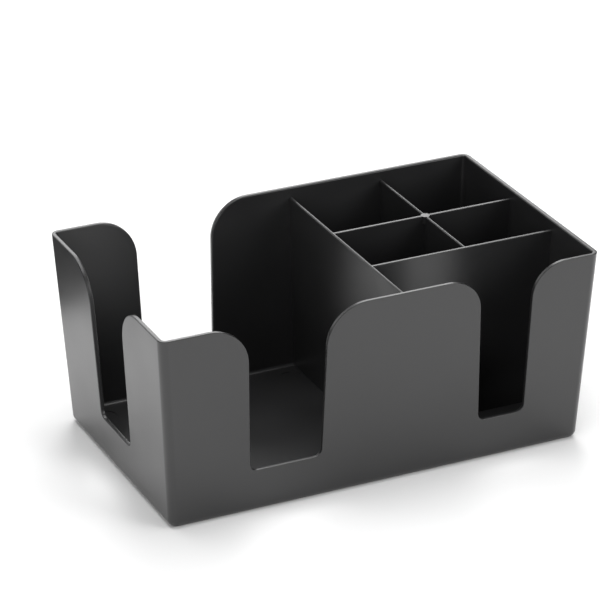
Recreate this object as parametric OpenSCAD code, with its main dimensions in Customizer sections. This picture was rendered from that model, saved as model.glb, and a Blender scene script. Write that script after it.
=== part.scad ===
// Coffee station organizer: an open-topped caddy with leaning walls, a napkin bay, a long bay for
// stirrers and four small bays. The origin is the middle of its footprint on the table, X runs
// along the long side, -Y is the front and +Z is up.

/* [Body] */
// Length over the rim, left to right
rim_length = 240; // [228:1:300]
// Depth over the rim, front to back
rim_depth = 145; // [138:1:200]
// Height of the rim above the table
body_height = 106; // [80:0.5:140]
// Distance that each wall leans in from the rim to the table
wall_lean = 6; // [2:0.5:9]
// Thickness of the outer walls
wall = 2.4; // [1.8:0.1:3.4]
// Radius of the upright outside corners and of the bottom edge
outer_radius = 4.5; // [1.5:0.1:6]
// Radius of the upright inside corners and of the edge round the floor
inner_radius = 2; // [0.6:0.1:3]

/* [Floor] */
// Height of the inside floor above the table
floor_height = 5.2; // [4:0.1:12]
// Thickness of the floor over the hollow underside
floor_thickness = 2.6; // [1.8:0.1:3.6]
// Width of the flat ring that the caddy stands on
foot_width = 3; // [2:0.5:8]

/* [Bays] */
// Length of the napkin bay between the rim's left side and the partition
napkin_bay_length = 131.5; // [118:0.1:138]
// Depth of the long front bay at the rim
long_bay_depth = 43.1; // [34:0.1:52]
// Length of the left pair of small bays
small_bay_length = 51.3; // [40:0.1:56]
// Depth of the front pair of small bays
small_bay_depth = 43; // [32:0.1:50]

/* [Slots] */
// Height of every slot's sill above the table
sill_height = 23.7; // [14:0.1:45]
// Radius of the slots' lower corners
sill_radius = 4; // [1:0.5:8]
// Widening of a slot on each side for each millimetre of height
slot_flare = 0.025; // [0:0.005:0.05]
// Width of the napkin bay's three slots at their sills
napkin_slot_width = 38.9; // [24:0.1:46]
// Shift of its front and back slots to the right of the napkin bay's middle
napkin_slot_shift = -0.4; // [-6:0.1:6]
// Width of the stirrer slot at its sill, in line with the short divider
stirrer_slot_width = 25.9; // [14:0.1:30]
// Radius of the shoulders over the napkin bay's three slots
napkin_shoulder = 21.4; // [10:0.1:24]
// Radius of the shoulders over the stirrer slot
stirrer_shoulder = 18; // [8:0.5:20]

/* [Dividers] */
// Distance of the dividers' top edges below the rim
divider_drop = 5.3; // [2:0.1:25]
// Thickness of the cross partition along its top edge
partition_thickness = 1.8; // [1.4:0.1:3]
// Thickness of the three dividers along their top edges
divider_thickness = 1.6; // [1.4:0.1:2.6]
// Thickening of a divider on each side for each millimetre down
divider_draft = 0.004; // [0:0.001:0.01]
// Diameter of the round boss where the two small-bay dividers cross
boss_diameter = 4.8; // [4:0.1:8]
// Depth of the boss below the dividers' top edges
boss_depth = 4; // [2:0.5:8]

/* [Fits] */
// Depth of the grooves that seat the dividers in the walls and in the floor
groove_depth = 0.8; // [0.4:0.1:1]
// Depth of the grooves in the faces of the partition and of the long divider
shallow_groove = 0.5; // [0.3:0.1:0.6]
// Clearance between a divider and the sides and ends of its groove
fit = 0.12; // [0.05:0.01:0.3]

/* [Hidden] */
shell_colour = [0.13, 0.13, 0.14];
partition_colour = [0.17, 0.17, 0.18];
divider_colour = [0.2, 0.2, 0.21];
boss_colour = [0.24, 0.24, 0.25];
corner_steps = 8;
shoulder_steps = 18;
// Overrun of a cut past the surface that it opens
past = 1;
// Lean of the walls for each millimetre of height, and as an angle
lean = wall_lean / body_height;
lean_angle = atan(lean);
flare_angle = atan(slot_flare);
divider_height = body_height - divider_drop;
// The dividers stand on the bottom of their floor grooves
seat_height = floor_height - groove_depth;
// Height where the middle and the short divider are halved over each other
halving_height = (seat_height + divider_height) / 2;
napkin_bay_left = wall - rim_length / 2;
napkin_slot_x = napkin_bay_left + napkin_bay_length / 2 + napkin_slot_shift;
partition_x = napkin_bay_left + napkin_bay_length + partition_thickness / 2;
short_divider_x = partition_x + (partition_thickness + divider_thickness) / 2 + small_bay_length;
long_divider_y = wall - rim_depth / 2 + long_bay_depth + divider_thickness / 2;
middle_divider_y = long_divider_y + divider_thickness + small_bay_depth;
// Bottoms of the grooves in the partition's right face and in the long divider's back face
partition_groove_x = partition_x + partition_thickness / 2 - shallow_groove;
long_groove_y = long_divider_y + divider_thickness / 2 - shallow_groove;

// Half of the outside length or depth at a height, for a size over the rim
function half_at(rim, z) = rim / 2 - lean * (body_height - z);

// Points of an arc round a centre
function arc(centre, radius, from, to, steps) = [
    for (step = [0 : steps])
        let (angle = from + (to - from) * step / steps)
        centre + radius * [cos(angle), sin(angle)]
];

// The same points on the left side, in the order that closes the outline
function mirrored(points) = [for (i = [len(points) - 1 : -1 : 0]) [-points[i][0], points[i][1]]];

// Section across a box with leaning sides and rounded bottom edges
module leaning_section(rim, inset, bottom, top, radius) {
    side = half_at(rim, bottom + radius) - inset;
    right = concat(
        arc([side - radius / cos(lean_angle), bottom + radius], radius, -90, -lean_angle, corner_steps),
        [[half_at(rim, top) - inset, top]]);
    polygon(concat(right, mirrored(right)));
}

// Box with four leaning sides, inset from the outside of the walls
module leaning_box(inset, bottom, top, radius) {
    intersection() {
        rotate([90, 0, 0])
            linear_extrude(height = 2 * rim_depth, center = true)
                leaning_section(rim_length, inset, bottom, top, radius);
        rotate([90, 0, 90])
            linear_extrude(height = 2 * rim_length, center = true)
                leaning_section(rim_depth, inset, bottom, top, radius);
    }
}

// Waste outside the rounding of one upright corner, laid along the leaning corner
module corner_waste(inset, radius, side_x, side_y) {
    tilt = atan(lean * sqrt(2));
    // Half of the angle between the two walls, seen along the corner
    half_turn = atan2(1, cos(tilt) + tan(lean_angle) * sqrt(2) * sin(tilt));
    axis_inset = inset + radius / cos(lean_angle);
    reach = radius + past;
    translate([
        side_x * (half_at(rim_length, -past) - axis_inset),
        side_y * (half_at(rim_depth, -past) - axis_inset),
        -past])
        rotate([0, tilt, atan2(side_y, side_x)])
            linear_extrude(height = body_height + 4 * past)
                polygon(concat(
                    arc([0, 0], radius, -half_turn, half_turn, corner_steps),
                    [reach * [cos(half_turn), sin(half_turn)]],
                    [[2 * reach, 0]],
                    [reach * [cos(half_turn), -sin(half_turn)]]));
}

// Leaning box with its four upright corners rounded
module rounded_leaning_box(inset, bottom, top, radius) {
    difference() {
        leaning_box(inset, bottom, top, radius);
        for (side_x = [-1, 1])
            for (side_y = [-1, 1])
                corner_waste(inset, radius, side_x, side_y);
    }
}

// Outline of a slot: a level sill, flared sides, and shoulders that run out into the rim
module slot_outline(width, shoulder) {
    // Each rounding touches the flared side and a level line
    touch = (1 - sin(flare_angle)) / cos(flare_angle);
    low = [width / 2 - sill_radius * touch, sill_height + sill_radius];
    high = [
        width / 2 + slot_flare * (body_height - sill_height) + shoulder * touch,
        body_height - shoulder];
    right = concat(
        arc(low, sill_radius, -90, -flare_angle, corner_steps),
        arc(high, shoulder, 180 - flare_angle, 90, shoulder_steps),
        [[high[0], body_height + past]]);
    polygon(concat(right, mirrored(right)));
}

// Slot through the front wall (side -1) or the back wall (side 1)
module long_wall_slot(x, side, width, shoulder) {
    // The cut starts inside the walls and runs out past the rim
    from = half_at(rim_depth, 0) - wall - past;
    to = rim_depth / 2 + past;
    translate([x, side * (from + to) / 2, 0])
        rotate([90, 0, 0])
            linear_extrude(height = to - from, center = true)
                slot_outline(width, shoulder);
}

// Slot through the middle of the left end wall
module end_wall_slot() {
    from = half_at(rim_length, 0) - wall - past;
    to = rim_length / 2 + past;
    translate([-(from + to) / 2, 0, 0])
        rotate([90, 0, 90])
            linear_extrude(height = to - from, center = true)
                slot_outline(napkin_slot_width, napkin_shoulder);
}

// Hollow under the floor, inside the foot ring
module underside_hollow() {
    inset = outer_radius + foot_width;
    corner = [half_at(rim_length, 0), half_at(rim_depth, 0)] - inset * [1, 1];
    round = corner - outer_radius * [1, 1];
    translate([0, 0, -past])
        linear_extrude(height = floor_height - floor_thickness + past)
            polygon(concat(
                arc(round, outer_radius, 0, 90, corner_steps),
                arc([-round[0], round[1]], outer_radius, 90, 180, corner_steps),
                arc(-round, outer_radius, 180, 270, corner_steps),
                arc([round[0], -round[1]], outer_radius, 270, 360, corner_steps)));
}

// Section across a divider, thicker towards the floor, with room on each side
module divider_section(top_thickness, room) {
    top_half = top_thickness / 2 + room;
    low_half = top_half + divider_draft * (divider_height - seat_height);
    polygon([
        [-low_half, seat_height],
        [low_half, seat_height],
        [top_half, divider_height],
        [-top_half, divider_height]]);
}

// Divider blank that runs left to right
module blank_along_x(from, to, y, top_thickness, room) {
    translate([from, y, 0])
        rotate([90, 0, 90])
            linear_extrude(height = to - from)
                divider_section(top_thickness, room);
}

// Divider blank that runs front to back
module blank_along_y(from, to, x, top_thickness, room) {
    translate([x, to, 0])
        rotate([90, 0, 0])
            linear_extrude(height = to - from)
                divider_section(top_thickness, room);
}

// The blanks reach past the leaning walls, and the room widens them into their grooves' cutters
module partition_blank(room = 0) {
    blank_along_y(-rim_depth / 2, rim_depth / 2, partition_x, partition_thickness, room);
}

module long_blank(from, room = 0) {
    blank_along_x(from, rim_length / 2, long_divider_y, divider_thickness, room);
}

module middle_blank(from, room = 0) {
    blank_along_x(from, rim_length / 2, middle_divider_y, divider_thickness, room);
}

module short_blank(from, room = 0) {
    blank_along_y(from, rim_depth / 2, short_divider_x, divider_thickness, room);
}

// Room of the dividers between the walls, with their grooves, less a gap at each end
module divider_room(end_gap) {
    leaning_box(wall - groove_depth + end_gap, seat_height, body_height + past, inner_radius);
}

// Grooves down the walls and along the floor
module divider_grooves() {
    intersection() {
        divider_room(0);
        union() {
            partition_blank(fit);
            long_blank(partition_groove_x, fit);
            middle_blank(partition_groove_x, fit);
            short_blank(long_groove_y, fit);
        }
    }
}

// Everything over or under the height where the crossing dividers are halved
module above_halving() {
    translate([-rim_length, -rim_depth, halving_height])
        cube([2 * rim_length, 2 * rim_depth, body_height]);
}

module below_halving() {
    translate([-rim_length, -rim_depth, halving_height - body_height])
        cube([2 * rim_length, 2 * rim_depth, body_height]);
}

// Upright cylinder at the crossing, over the boss's depth
module boss_cylinder(diameter, height) {
    translate([short_divider_x, middle_divider_y, divider_height - boss_depth])
        cylinder(d = diameter, h = height, $fn = 64);
}

module boss_seat() {
    boss_cylinder(boss_diameter + 2 * fit, boss_depth + past);
}

// Shell: four leaning walls, the raised floor, the foot ring and the dividers' grooves
module caddy_shell() {
    color(shell_colour)
        difference() {
            rounded_leaning_box(0, 0, body_height, outer_radius);
            rounded_leaning_box(wall, floor_height, body_height + past, inner_radius);
            for (side = [-1, 1])
                long_wall_slot(napkin_slot_x, side, napkin_slot_width, napkin_shoulder);
            long_wall_slot(short_divider_x, -1, stirrer_slot_width, stirrer_shoulder);
            end_wall_slot();
            underside_hollow();
            divider_grooves();
        }
}

// Cross partition between the napkin bay and the right-hand bays
module napkin_partition() {
    color(partition_colour)
        difference() {
            intersection() {
                partition_blank();
                divider_room(fit);
            }
            long_blank(partition_groove_x, fit);
            middle_blank(partition_groove_x, fit);
        }
}

// Divider between the long front bay and the small bays
module long_divider() {
    color(divider_colour)
        difference() {
            intersection() {
                long_blank(partition_groove_x + fit);
                divider_room(fit);
            }
            short_blank(long_groove_y, fit);
        }
}

// Divider through the middle of the small bays, open at its crossing from the top down
module middle_divider() {
    color(divider_colour)
        difference() {
            intersection() {
                middle_blank(partition_groove_x + fit);
                divider_room(fit);
            }
            intersection() {
                short_blank(long_groove_y, fit);
                above_halving();
            }
            boss_seat();
        }
}

// Divider across the small bays, open at its crossing from the bottom up
module short_divider() {
    color(divider_colour)
        difference() {
            intersection() {
                short_blank(long_groove_y + fit);
                divider_room(fit);
            }
            intersection() {
                middle_blank(partition_groove_x, fit);
                below_halving();
            }
            boss_seat();
        }
}

// Round boss let into the tops of the crossing dividers
module crossing_boss() {
    color(boss_colour)
        boss_cylinder(boss_diameter, boss_depth);
}

caddy_shell();
napkin_partition();
long_divider();
middle_divider();
short_divider();
crossing_boss();
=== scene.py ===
import math

import bmesh
import bpy
from mathutils import Matrix, Vector


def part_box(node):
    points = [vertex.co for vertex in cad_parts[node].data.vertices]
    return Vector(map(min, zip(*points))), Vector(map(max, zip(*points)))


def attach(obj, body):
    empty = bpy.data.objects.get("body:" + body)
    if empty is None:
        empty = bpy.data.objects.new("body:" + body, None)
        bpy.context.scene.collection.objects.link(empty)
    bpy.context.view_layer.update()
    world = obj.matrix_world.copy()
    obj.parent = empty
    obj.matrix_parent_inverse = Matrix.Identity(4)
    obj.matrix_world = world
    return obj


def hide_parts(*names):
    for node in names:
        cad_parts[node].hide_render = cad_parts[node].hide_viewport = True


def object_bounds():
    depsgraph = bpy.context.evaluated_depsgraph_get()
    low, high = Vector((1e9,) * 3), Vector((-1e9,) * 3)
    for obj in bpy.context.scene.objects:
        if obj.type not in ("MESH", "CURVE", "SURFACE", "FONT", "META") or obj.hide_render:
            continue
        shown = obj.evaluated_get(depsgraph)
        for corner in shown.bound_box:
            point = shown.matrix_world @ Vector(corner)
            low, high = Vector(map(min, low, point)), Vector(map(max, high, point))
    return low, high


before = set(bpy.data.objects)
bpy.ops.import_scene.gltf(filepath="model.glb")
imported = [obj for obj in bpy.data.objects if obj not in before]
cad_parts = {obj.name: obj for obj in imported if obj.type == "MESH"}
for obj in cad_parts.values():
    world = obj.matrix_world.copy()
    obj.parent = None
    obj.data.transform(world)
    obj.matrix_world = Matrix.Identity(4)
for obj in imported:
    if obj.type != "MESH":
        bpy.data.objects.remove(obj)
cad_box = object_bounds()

# Camera. It stands in front of the caddy, a little to its left and 25 degrees above it, and looks
# through a long lens, so that the upright edges stay nearly parallel.
MM = 0.001
camera_azimuth = math.radians(-25.01)
camera_elevation = math.radians(25.242)
camera_roll = math.radians(-0.282)
camera_distance = 1710.97 * MM
camera_target = Vector((-12.75, 0, 76.27)) * MM
camera_sight = 20
# The lens and the film are measured in millimetres
lens_length = 201.91
film_width = 36

scene = bpy.context.scene
scene.view_settings.view_transform = "Standard"
lens = bpy.data.cameras.new("camera")
lens.lens = lens_length
lens.sensor_width = film_width
lens.clip_end = camera_sight
camera = bpy.data.objects.new("camera", lens)
aim = (Matrix.Rotation(camera_azimuth, 4, "Z")
       @ Matrix.Rotation(math.pi / 2 - camera_elevation, 4, "X")
       @ Matrix.Rotation(camera_roll, 4, "Z"))
camera.matrix_world = Matrix.Translation(camera_target) @ aim @ Matrix.Translation((0, 0, camera_distance))
scene.collection.objects.link(camera)
scene.camera = camera


# Table top. The caddy stands on a plain white top that runs out into white on every side, so only the
# caddy's shadow shows on it: the lamps' shadow, deepened by painted shade where an occlusion term dims the
# top's glow close by the caddy. Its white also shows in the caddy's glossy walls, by a glow that only
# reflections see, and there the painted shade close by the caddy is taken twice over. Out of the lamps'
# reach it is seen as white by itself.
table_reach = 2.5
table_white = 0.8
camera_glow = 0.21
lamps_fade_from, lamps_fade_to = 0.45, 1.3
mirror_glow = 0.95
# How far from the caddy the painted shade on the top's glow reaches, and how finely it is sampled
painted_shade_reach = 0.12
painted_shade_samples = 8


def flat_card(name, corners):
    """A flat sheet with four corners that is no part of the caddy."""
    mesh = bpy.data.meshes.new(name)
    mesh.from_pydata(corners, [], [(0, 1, 2, 3)])
    card = bpy.data.objects.new(name, mesh)
    scene.collection.objects.link(card)
    return card


def bare_material(name):
    """A node material with nothing in it yet."""
    material = bpy.data.materials.new(name)
    material.use_nodes = True
    material.node_tree.nodes.clear()
    return material


def reckon(tree, operation, *values):
    """Output of a Math node. Its inputs are linked, or set where they are numbers."""
    node = tree.nodes.new("ShaderNodeMath")
    node.operation = operation
    for socket, value in zip(node.inputs, values):
        if isinstance(value, float):
            socket.default_value = value
        else:
            tree.links.new(value, socket)
    return node.outputs[0]


table = flat_card("table", [
    (-table_reach, -table_reach, 0), (table_reach, -table_reach, 0),
    (table_reach, table_reach, 0), (-table_reach, table_reach, 0)])
white_top = bare_material("white_table_top")
tree = white_top.node_tree
top_diffuse = tree.nodes.new("ShaderNodeBsdfDiffuse")
top_diffuse.inputs["Color"].default_value = (table_white, table_white, table_white, 1)
# Painted shade: this occlusion term dims the top's glow close by the caddy, once for the camera and twice
# for reflections
painted_contact_shade = tree.nodes.new("ShaderNodeAmbientOcclusion")
painted_contact_shade.inputs["Distance"].default_value = painted_shade_reach
painted_contact_shade.samples = painted_shade_samples
rays = tree.nodes.new("ShaderNodeLightPath")
mirrored = reckon(tree, "MAXIMUM", rays.outputs["Is Glossy Ray"], rays.outputs["Is Transmission Ray"])
mirrored_glow = reckon(tree, "MULTIPLY", mirrored, mirror_glow)
mirrored_glow_in_painted_shade = reckon(tree, "MULTIPLY", mirrored_glow, painted_contact_shade.outputs["AO"])
spot = tree.nodes.new("ShaderNodeNewGeometry")
way_out = tree.nodes.new("ShaderNodeVectorMath")
way_out.operation = "LENGTH"
tree.links.new(spot.outputs["Position"], way_out.inputs[0])
outer_glow = tree.nodes.new("ShaderNodeMapRange")
outer_glow.inputs["From Min"].default_value = lamps_fade_from
outer_glow.inputs["From Max"].default_value = lamps_fade_to
outer_glow.inputs["To Min"].default_value = camera_glow
outer_glow.inputs["To Max"].default_value = 1
tree.links.new(way_out.outputs["Value"], outer_glow.inputs["Value"])
seen_glow = reckon(
    tree, "MULTIPLY_ADD", rays.outputs["Is Camera Ray"], outer_glow.outputs["Result"], mirrored_glow_in_painted_shade)
top_glow = tree.nodes.new("ShaderNodeEmission")
tree.links.new(reckon(tree, "MULTIPLY", seen_glow, painted_contact_shade.outputs["AO"]), top_glow.inputs["Strength"])
top_sum = tree.nodes.new("ShaderNodeAddShader")
tree.links.new(top_diffuse.outputs[0], top_sum.inputs[0])
tree.links.new(top_glow.outputs[0], top_sum.inputs[1])
top_out = tree.nodes.new("ShaderNodeOutputMaterial")
tree.links.new(top_sum.outputs[0], top_out.inputs["Surface"])
table.data.materials.append(white_top)


# Room. It is dark, so that only the lamps and the table light the caddy, and only they and the two cards,
# which are painted reflections, show in it.
# What the camera sees beyond the table's edge is white.
world = bpy.data.worlds.new("studio")
scene.world = world
world.use_nodes = True
tree = world.node_tree
tree.nodes.clear()
dark_room = tree.nodes.new("ShaderNodeBackground")
dark_room.inputs["Strength"].default_value = 0
white_ground = tree.nodes.new("ShaderNodeBackground")
white_ground.inputs["Strength"].default_value = 1
rays = tree.nodes.new("ShaderNodeLightPath")
ground_mix = tree.nodes.new("ShaderNodeMixShader")
seen = reckon(tree, "MAXIMUM", rays.outputs["Is Camera Ray"], rays.outputs["Is Transmission Ray"])
tree.links.new(seen, ground_mix.inputs[0])
tree.links.new(dark_room.outputs[0], ground_mix.inputs[1])
tree.links.new(white_ground.outputs[0], ground_mix.inputs[2])
world_out = tree.nodes.new("ShaderNodeOutputWorld")
tree.links.new(ground_mix.outputs[0], world_out.inputs["Surface"])


# Black flag and white card. Two upright cards behind the caddy's left end that the camera sees only in its
# glossy faces, and that cast no shadow and light nothing: the low flag is a painted dark reflection on the
# end wall's far corner, and the card beyond it, which glows though it is no lamp, is a painted highlight on
# the rim's outer edge.
flag_left, flag_right = -0.9, -0.13
flag_back = 0.184
flag_height = 0.08
dark_reflection_tone = 0.03
card_left, card_right = -1.2, -0.1
card_back = 1.0
card_height = 1.0
painted_highlight_strength = 1.5


def upright_card(name, left, right, back, height):
    """A card that stands on the table and shows only in glossy faces."""
    card = flat_card(name, [(left, back, 0), (right, back, 0), (right, back, height), (left, back, height)])
    card.visible_camera = False
    card.visible_diffuse = False
    card.visible_shadow = False
    return card


# The flag: a dark sheet that only reflections see, a painted dark reflection on the end wall's far corner
flag = upright_card("painted_dark_reflection_flag", flag_left, flag_right, flag_back, flag_height)
painted_dark_reflection = bare_material("painted_dark_reflection")
tree = painted_dark_reflection.node_tree
cloth = tree.nodes.new("ShaderNodeBsdfDiffuse")
cloth.inputs["Color"].default_value = (dark_reflection_tone, dark_reflection_tone, dark_reflection_tone, 1)
cloth_out = tree.nodes.new("ShaderNodeOutputMaterial")
tree.links.new(cloth.outputs[0], cloth_out.inputs["Surface"])
flag.data.materials.append(painted_dark_reflection)

# The card: a glowing sheet that only reflections see and that lights nothing, a painted highlight on the
# rim's outer edge
card = upright_card("painted_highlight_card", card_left, card_right, card_back, card_height)
painted_highlight_glow = bare_material("painted_highlight_glow")
tree = painted_highlight_glow.node_tree
board = tree.nodes.new("ShaderNodeEmission")
board.inputs["Strength"].default_value = painted_highlight_strength
board_out = tree.nodes.new("ShaderNodeOutputMaterial")
tree.links.new(board.outputs[0], board_out.inputs["Surface"])
card.data.materials.append(painted_highlight_glow)


# Lamps. Four soft boxes as in a small product studio: a large one overhead, one at each side in
# front, and a tall one behind on the right that draws the bright lines on the rims and dividers.
lamp_target = Vector((0, 0, 0.04))


def soft_box(name, place, width, height, power):
    """A rectangular lamp that faces the caddy. Its power is in watts."""
    lamp = bpy.data.lights.new(name, "AREA")
    lamp.shape = "RECTANGLE"
    lamp.size = width
    lamp.size_y = height
    lamp.energy = power
    holder = bpy.data.objects.new(name, lamp)
    holder.location = place
    holder.rotation_euler = (lamp_target - Vector(place)).to_track_quat("-Z", "Y").to_euler()
    scene.collection.objects.link(holder)


soft_box("overhead_soft_box", place=(0, 0.1, 1.3), width=1.2, height=1.0, power=15.7)
soft_box("front_left_soft_box", place=(-0.9, -1.0, 0.6), width=0.8, height=0.8, power=8.8)
soft_box("front_right_soft_box", place=(0.9, -1.1, 0.7), width=0.8, height=0.8, power=11.2)
soft_box("rear_right_soft_box", place=(0.43, 1.0, 0.85), width=0.56, height=1.2, power=9.3)


# Caddy shell. The moulding's four leaning walls, its raised floor and its foot ring, in one black
# plastic, with a slot through each wall of the napkin bay and one into the stirrer bay. The mould's
# outside is spark-eroded to a fine grain, and its cores are polished, so the bays are smoother.
rim_length = cad_box[1][0] - cad_box[0][0]
rim_depth = cad_box[1][1] - cad_box[0][1]
rim_height = cad_box[1][2]
wall_lean = 6 * MM
wall = 2.4 * MM
outer_radius = 4.5 * MM
inner_radius = 2 * MM
floor_height = 5.2 * MM
floor_thickness = 2.6 * MM
foot_width = 3 * MM
corner_steps = 10
same_place = 0.001 * MM
lean = wall_lean / rim_height
lean_angle = math.atan(lean)
DOWN = Vector((0, 0, -1))

# The plastic: its grain, and the patches in which its tone and its gloss drift
grain_octaves = 2
grain_octave_strength = 0.6
patch_size = 25 * MM
patch_contrast = 0.15
cool_cast = 1.035
plastic_ior = 1.5


def moulded_face_group():
    """Height of the mould's grain, and the slow unevenness of a moulded face, over the surface."""
    group = bpy.data.node_groups.new("moulded_face", "ShaderNodeTree")
    group.interface.new_socket("Place", in_out="INPUT", socket_type="NodeSocketVector")
    group.interface.new_socket("Grains per Metre", in_out="INPUT", socket_type="NodeSocketFloat")
    group.interface.new_socket("Patches per Metre", in_out="INPUT", socket_type="NodeSocketFloat")
    group.interface.new_socket("Grain", in_out="OUTPUT", socket_type="NodeSocketFloat")
    group.interface.new_socket("Patches", in_out="OUTPUT", socket_type="NodeSocketFloat")
    given = group.nodes.new("NodeGroupInput")
    grain = group.nodes.new("ShaderNodeTexNoise")
    grain.inputs["Detail"].default_value = grain_octaves
    grain.inputs["Roughness"].default_value = grain_octave_strength
    patches = group.nodes.new("ShaderNodeTexNoise")
    patches.inputs["Detail"].default_value = 0
    result = group.nodes.new("NodeGroupOutput")
    group.links.new(given.outputs["Place"], grain.inputs["Vector"])
    group.links.new(given.outputs["Grains per Metre"], grain.inputs["Scale"])
    group.links.new(given.outputs["Place"], patches.inputs["Vector"])
    group.links.new(given.outputs["Patches per Metre"], patches.inputs["Scale"])
    group.links.new(grain.outputs["Fac"], result.inputs["Grain"])
    group.links.new(patches.outputs["Fac"], result.inputs["Patches"])
    return group


moulded_face = moulded_face_group()


def moulded_black(name, base, roughness, unevenness, grain_size, grain_depth):
    """Black plastic off the mould: its tone and gloss drift a little, and its grain is a fine bump."""
    material = bare_material(name)
    nodes, links = material.node_tree.nodes, material.node_tree.links
    place = nodes.new("ShaderNodeTexCoord")
    face = nodes.new("ShaderNodeGroup")
    face.node_tree = moulded_face
    face.inputs["Grains per Metre"].default_value = 1 / grain_size
    face.inputs["Patches per Metre"].default_value = 1 / patch_size
    tone = nodes.new("ShaderNodeMixRGB")
    for socket, level in (("Color1", 1 - patch_contrast), ("Color2", 1 + patch_contrast)):
        tone.inputs[socket].default_value = (level * base, level * base, level * base * cool_cast, 1)
    gloss = nodes.new("ShaderNodeMapRange")
    gloss.inputs["From Min"].default_value = 0
    gloss.inputs["From Max"].default_value = 1
    gloss.inputs["To Min"].default_value = roughness - unevenness
    gloss.inputs["To Max"].default_value = roughness + unevenness
    bump = nodes.new("ShaderNodeBump")
    bump.inputs["Distance"].default_value = grain_depth
    plastic = nodes.new("ShaderNodeBsdfPrincipled")
    plastic.inputs["IOR"].default_value = plastic_ior
    out = nodes.new("ShaderNodeOutputMaterial")
    links.new(place.outputs["Object"], face.inputs["Place"])
    links.new(face.outputs["Grain"], bump.inputs["Height"])
    links.new(face.outputs["Patches"], tone.inputs["Fac"])
    links.new(face.outputs["Patches"], gloss.inputs["Value"])
    links.new(tone.outputs["Color"], plastic.inputs["Base Color"])
    links.new(gloss.outputs["Result"], plastic.inputs["Roughness"])
    links.new(bump.outputs["Normal"], plastic.inputs["Normal"])
    links.new(plastic.outputs[0], out.inputs["Surface"])
    return material


textured_black = moulded_black(
    "textured_black", base=0.012, roughness=0.34, unevenness=0.03,
    grain_size=0.45 * MM, grain_depth=0.016 * MM)
# The polished black is a third lighter than the grained one: painted light that lifts the shaded bays, and
# the rims and dividers share it
smooth_black = moulded_black(
    "smooth_black", base=0.016, roughness=0.34, unevenness=0.04,
    grain_size=2.5 * MM, grain_depth=0.002 * MM)

# The shell's kinds of face, which stand for their places in its list of finishes
OUTSIDE, RIM, INSIDE = 0, 1, 2
shell_finishes = (textured_black, smooth_black, smooth_black)


def half_at(rim, z):
    """Half of the outside length or depth at a height."""
    return rim / 2 - lean * (rim_height - z)


def arc(centre, radius, start, end, steps):
    """Points of an arc, with its angles in degrees."""
    turns = [math.radians(start + (end - start) * step / steps) for step in range(steps + 1)]
    return [(centre[0] + radius * math.cos(turn), centre[1] + radius * math.sin(turn)) for turn in turns]


# Slots
sill_height = 23.7 * MM
sill_radius = 4 * MM
slot_flare = 0.025
flare_angle = math.atan(slot_flare)
napkin_middle = -52.25 * MM
napkin_slot_width = 38.9 * MM
napkin_shoulder = 21.4 * MM
stirrer_slot_width = 25.9 * MM
stirrer_shoulder = 18 * MM
shoulder_steps = 20


def slot_outline(middle, width, shoulder):
    """A slot's outline, along the wall and up, from its left shoulder over the sill to its right one."""
    touch = (1 - math.sin(flare_angle)) / math.cos(flare_angle)
    flare = math.degrees(flare_angle)
    low = (width / 2 - sill_radius * touch, sill_height + sill_radius)
    high = (width / 2 + slot_flare * (rim_height - sill_height) + shoulder * touch, rim_height - shoulder)
    right = (arc(low, sill_radius, -90, -flare, corner_steps)
             + arc(high, shoulder, 180 - flare, 90, shoulder_steps))
    left = [(middle - along, up) for along, up in reversed(right)]
    return left + [(middle + along, up) for along, up in right]


short_low, short_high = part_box("short_divider")
stirrer_middle = (short_low.x + short_high.x) / 2
napkin_outline = slot_outline(napkin_middle, napkin_slot_width, napkin_shoulder)
stirrer_outline = slot_outline(stirrer_middle, stirrer_slot_width, stirrer_shoulder)
end_outline = slot_outline(0, napkin_slot_width, napkin_shoulder)

# The walls in the order of a walk round the rim: front, right end, back and left end
walls = [
    {"normal": Vector((0, -1, 0)), "slots": napkin_outline + stirrer_outline},
    {"normal": Vector((1, 0, 0)), "slots": []},
    {"normal": Vector((0, 1, 0)), "slots": napkin_outline[::-1]},
    {"normal": Vector((-1, 0, 0)), "slots": end_outline[::-1]},
]


def wall_point(normal, along, up, inset):
    """Point on a wall's outer face, or on its inner one with the wall as inset."""
    if normal.y:
        return Vector((along, normal.y * (half_at(rim_depth, up) - inset), up))
    return Vector((normal.x * (half_at(rim_length, up) - inset), along, up))


def leaning(normal):
    """The true normal of a leaning wall."""
    return Vector((normal.x * math.cos(lean_angle), normal.y * math.cos(lean_angle), -math.sin(lean_angle)))


def corner_grid(first, second, inset, bottom, radius):
    """Rows of points round one corner, from the rim down to the level face under it."""
    side = first + second
    level = bottom + radius
    off = inset + radius / math.cos(lean_angle)
    centre = Vector((
        side.x * (half_at(rim_length, level) - off), side.y * (half_at(rim_depth, level) - off), level))
    one, two = leaning(first), leaning(second)
    upward = one.cross(two)
    upward *= math.copysign(1, upward.z)
    turn = [one.slerp(two, step / corner_steps) for step in range(corner_steps + 1)]
    rim_row = []
    for normal in turn:
        start = centre + radius * normal
        rim_row.append(start + upward * ((rim_height - start.z) / upward.z))
    rows = [rim_row]
    for step in range(corner_steps + 1):
        rows.append([centre + radius * normal.slerp(DOWN, step / corner_steps) for normal in turn])
    return rows


shell_build = bmesh.new()


def add_face(points, kind):
    """One face of the shell, without the points that lie on each other."""
    clean = [p for i, p in enumerate(points) if (p - points[i - 1]).length > same_place / 10]
    if len(clean) < 3:
        return
    face = shell_build.faces.new([shell_build.verts.new(p) for p in clean])
    face.material_index = kind


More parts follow.
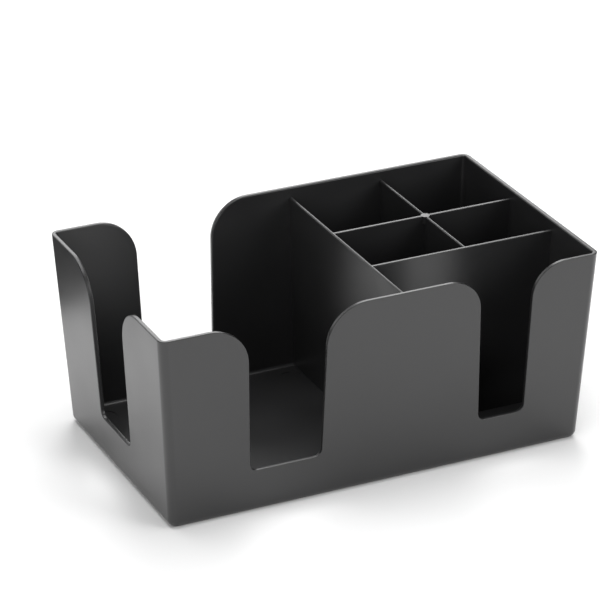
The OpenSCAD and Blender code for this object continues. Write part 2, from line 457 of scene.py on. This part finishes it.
def add_skin(inset, bottom, radius, kind, flip):
    """The shell's outer or inner skin: its walls, corners and rounded bottom edge. Gives its corners."""
    grids = [corner_grid(walls[i]["normal"], walls[(i + 1) % 4]["normal"], inset, bottom, radius)
             for i in range(4)]

    def put(points):
        add_face(points[::-1] if flip else points, kind)

    for i in range(4):
        here, before = grids[i], grids[i - 1]
        for upper, lower in zip(here, here[1:]):
            for step in range(corner_steps):
                put([upper[step], lower[step], lower[step + 1], upper[step + 1]])
        # Rounded bottom edge between the last corner and this one
        for j in range(1, len(here) - 1):
            put([before[j][-1], before[j + 1][-1], here[j + 1][0], here[j][0]])
        outline = [wall_point(walls[i]["normal"], along, up, inset) for along, up in walls[i]["slots"]]
        put([before[0][-1], before[1][-1], here[1][0], here[0][0]] + outline[::-1])
    return grids


outer_grids = add_skin(0, 0, outer_radius, OUTSIDE, False)
inner_grids = add_skin(wall, floor_height, inner_radius, INSIDE, True)

# Rim and slot edges, between the two skins
outer_rim, inner_rim = [], []
for i in range(4):
    for along, up in walls[i]["slots"]:
        outer_rim.append(wall_point(walls[i]["normal"], along, up, 0))
        inner_rim.append(wall_point(walls[i]["normal"], along, up, wall))
    outer_rim += outer_grids[i][0]
    inner_rim += inner_grids[i][0]
for i in range(len(outer_rim)):
    add_face([outer_rim[i - 1], outer_rim[i], inner_rim[i], inner_rim[i - 1]], RIM)

# Level floor inside, and the foot ring round the hollow under it
add_face([grid[-1][0] for grid in inner_grids], INSIDE)
foot = [grid[-1][0] for grid in outer_grids]
hollow_inset = outer_radius + foot_width
hollow_x = half_at(rim_length, 0) - hollow_inset - outer_radius
hollow_y = half_at(rim_depth, 0) - hollow_inset - outer_radius
hollow = []
for i, (side_x, side_y) in enumerate(((1, -1), (1, 1), (-1, 1), (-1, -1))):
    start = -90 + 90 * i
    hollow.append([Vector((x, y, 0)) for x, y in arc(
        (side_x * hollow_x, side_y * hollow_y), outer_radius, start, start + 90, corner_steps)])
for i in range(4):
    add_face([foot[i]] + hollow[i][::-1], OUTSIDE)
    add_face([foot[i], hollow[i][0], hollow[i - 1][-1], foot[i - 1]], OUTSIDE)
hollow_loop = [point for part in hollow for point in part]
lift = Vector((0, 0, floor_height - floor_thickness))
for i in range(len(hollow_loop)):
    low_a, low_b = hollow_loop[i - 1], hollow_loop[i]
    add_face([low_a, low_b, low_b + lift, low_a + lift], INSIDE)
add_face([point + lift for point in hollow_loop][::-1], INSIDE)

# One closed skin. The rim's and the slots' inner edges are rounded most.
inner_rounding = 0.8 * MM
outer_rounding = 0.4 * MM
rounding_steps = 4
bmesh.ops.remove_doubles(shell_build, verts=shell_build.verts, dist=same_place)
bmesh.ops.recalc_face_normals(shell_build, faces=shell_build.faces)
weight = shell_build.edges.layers.float.new("bevel_weight_edge")
for edge in shell_build.edges:
    kinds = {face.material_index for face in edge.link_faces}
    if len(kinds) == 2:
        edge[weight] = 1 if kinds == {RIM, INSIDE} else outer_rounding / inner_rounding


def moulded_piece(name, build, finishes):
    """A mesh object from a bmesh, in its finishes."""
    mesh = bpy.data.meshes.new(name)
    build.to_mesh(mesh)
    build.free()
    for finish in finishes:
        mesh.materials.append(finish)
    piece = bpy.data.objects.new(name, mesh)
    scene.collection.objects.link(piece)
    return piece


sharp_angle = math.radians(35)


def cut_and_smooth(piece, cutters):
    """Cuts the cutters out of a piece for good, and shades it smooth between its edges."""
    for cutter in cutters:
        cut = piece.modifiers.new(cutter.name, "BOOLEAN")
        cut.operation = "DIFFERENCE"
        cut.solver = "EXACT"
        cut.object = cutter
    cut_mesh = bpy.data.meshes.new_from_object(piece.evaluated_get(bpy.context.evaluated_depsgraph_get()))
    piece.modifiers.clear()
    piece.data = cut_mesh
    cut_mesh.shade_smooth()
    cut_mesh.set_sharp_from_angle(angle=sharp_angle)
    even = piece.modifiers.new("even_shading", "WEIGHTED_NORMAL")
    even.keep_sharp = True


shell = moulded_piece("moulded_shell", shell_build, shell_finishes)
rounding = shell.modifiers.new("rim_rounding", "BEVEL")
rounding.limit_method = "WEIGHT"
rounding.width = inner_rounding
rounding.segments = rounding_steps
rounding.use_clamp_overlap = False

# Dividers, and the grooves that they leave in the shell
groove_depth = 0.8 * MM
divider_draft = 0.004
top_rounding = 0.3 * MM
partition_rounding = 0.85 * MM
short_rounding = 0.75 * MM
top_steps = 5
partition_low, partition_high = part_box("napkin_partition")
partition_x = (partition_low.x + partition_high.x) / 2
long_low, long_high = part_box("long_divider")
long_y = (long_low.y + long_high.y) / 2
# Each divider's node, the way it runs, where it starts if not at a wall, and its top's rounding
dividers = [
    ("napkin_partition", "y", None, partition_rounding),
    ("long_divider", "x", partition_x, top_rounding),
    ("middle_divider", "x", partition_x, top_rounding),
    ("short_divider", "y", long_y, short_rounding),
]


def divider_solid(name, finishes, kind, node, run, start, rounding):
    """A divider between its grooves' bottoms, tapered and rounded at its top. It also cuts the grooves."""
    low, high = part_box(node)
    across = "y" if run == "x" else "x"
    middle = (getattr(low, across) + getattr(high, across)) / 2
    low_half = (getattr(high, across) - getattr(low, across)) / 2
    rim = rim_length if run == "x" else rim_depth
    inset = wall - groove_depth
    level = low.z + inner_radius
    end = half_at(rim, level) - inset - inner_radius / math.cos(lean_angle)
    # Rows of its far end's place, its height and its half thickness, from the floor up
    rows = []
    for along, up in arc((end, level), inner_radius, -90, -math.degrees(lean_angle), corner_steps):
        rows.append((along, up, low_half - divider_draft * (up - low.z)))
    edge = high.z - rounding
    edge_half = low_half - divider_draft * (edge - low.z)
    for step in range(top_steps + 1):
        turn = math.radians(90 * step / top_steps)
        up = edge + rounding * math.sin(turn)
        rows.append((half_at(rim, up) - inset, up, edge_half - rounding * (1 - math.cos(turn))))
    build = bmesh.new()
    loops = []
    for along, up, half in rows:
        near = -along if start is None else start
        ring = [(near, -half), (along, -half), (along, half), (near, half)]
        places = [(a, middle + off, up) if run == "x" else (middle + off, a, up) for a, off in ring]
        loops.append([build.verts.new(place) for place in places])
    build.faces.new(loops[0])
    build.faces.new(loops[-1])
    for lower, upper in zip(loops, loops[1:]):
        for i in range(4):
            build.faces.new([lower[i - 1], lower[i], upper[i], upper[i - 1]])
    for face in build.faces:
        face.material_index = kind
    bmesh.ops.recalc_face_normals(build, faces=build.faces)
    return moulded_piece(name, build, finishes)


# Marks of the four ejector pins in the napkin bay's floor
mark_radius = 6 * MM
mark_depth = 0.3 * MM
mark_sides = 64
mark_places_x = (-100.2 * MM, 6.2 * MM)
mark_place_y = 52 * MM


def ejector_cutter(x, y):
    """The shallow round mark that an ejector pin leaves in the floor."""
    build = bmesh.new()
    bmesh.ops.create_cone(
        build, cap_ends=True, segments=mark_sides, radius1=mark_radius, radius2=mark_radius,
        depth=2 * mark_depth, matrix=Matrix.Translation((x, y, floor_height)))
    for face in build.faces:
        face.material_index = INSIDE
    return moulded_piece("ejector_mark", build, shell_finishes)


cutters = [divider_solid("groove", shell_finishes, INSIDE, *divider) for divider in dividers]
for x in mark_places_x:
    for y in (-mark_place_y, mark_place_y):
        cutters.append(ejector_cutter(x, y))
cut_and_smooth(shell, cutters)
for cutter in cutters:
    bpy.data.objects.remove(cutter)
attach(shell, "root")
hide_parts("caddy_shell")


# Partition and dividers. Thin upright walls of the same moulding, between its polished cores, that
# taper towards their tops. The tops are rounded, and those that run front to back almost fully so.
# Each ends on the face of the wall that it meets, as one moulding has it.
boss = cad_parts["crossing_boss"]
partition, long_divider, middle_divider, short_divider = [
    divider_solid("moulded_" + divider[0], (smooth_black,), 0, *divider) for divider in dividers]
stops = [
    (partition, []),
    (long_divider, [partition]),
    (middle_divider, [partition, boss]),
    (short_divider, [long_divider, boss]),
]
for piece, stopped_by in stops:
    cut_and_smooth(piece, stopped_by)
for piece, node in (
        (partition, "napkin_partition"), (long_divider, "long_divider"),
        (middle_divider, "middle_divider"), (short_divider, "short_divider")):
    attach(piece, "root")
    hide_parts(node)


# Crossing boss. A low round button of the same plastic at the crossing of the middle and short
# dividers, where an ejector pin pushes the moulding off its cores.
boss_rounding = 0.3 * MM
boss_steps = 3
boss.data.materials.clear()
boss.data.materials.append(smooth_black)
join = boss.modifiers.new("joined_corners", "WELD")
join.merge_threshold = 2 * same_place
rounding = boss.modifiers.new("edge_rounding", "BEVEL")
rounding.limit_method = "ANGLE"
rounding.angle_limit = sharp_angle
rounding.width = boss_rounding
rounding.segments = boss_steps
boss.modifiers.new("even_shading", "WEIGHTED_NORMAL")
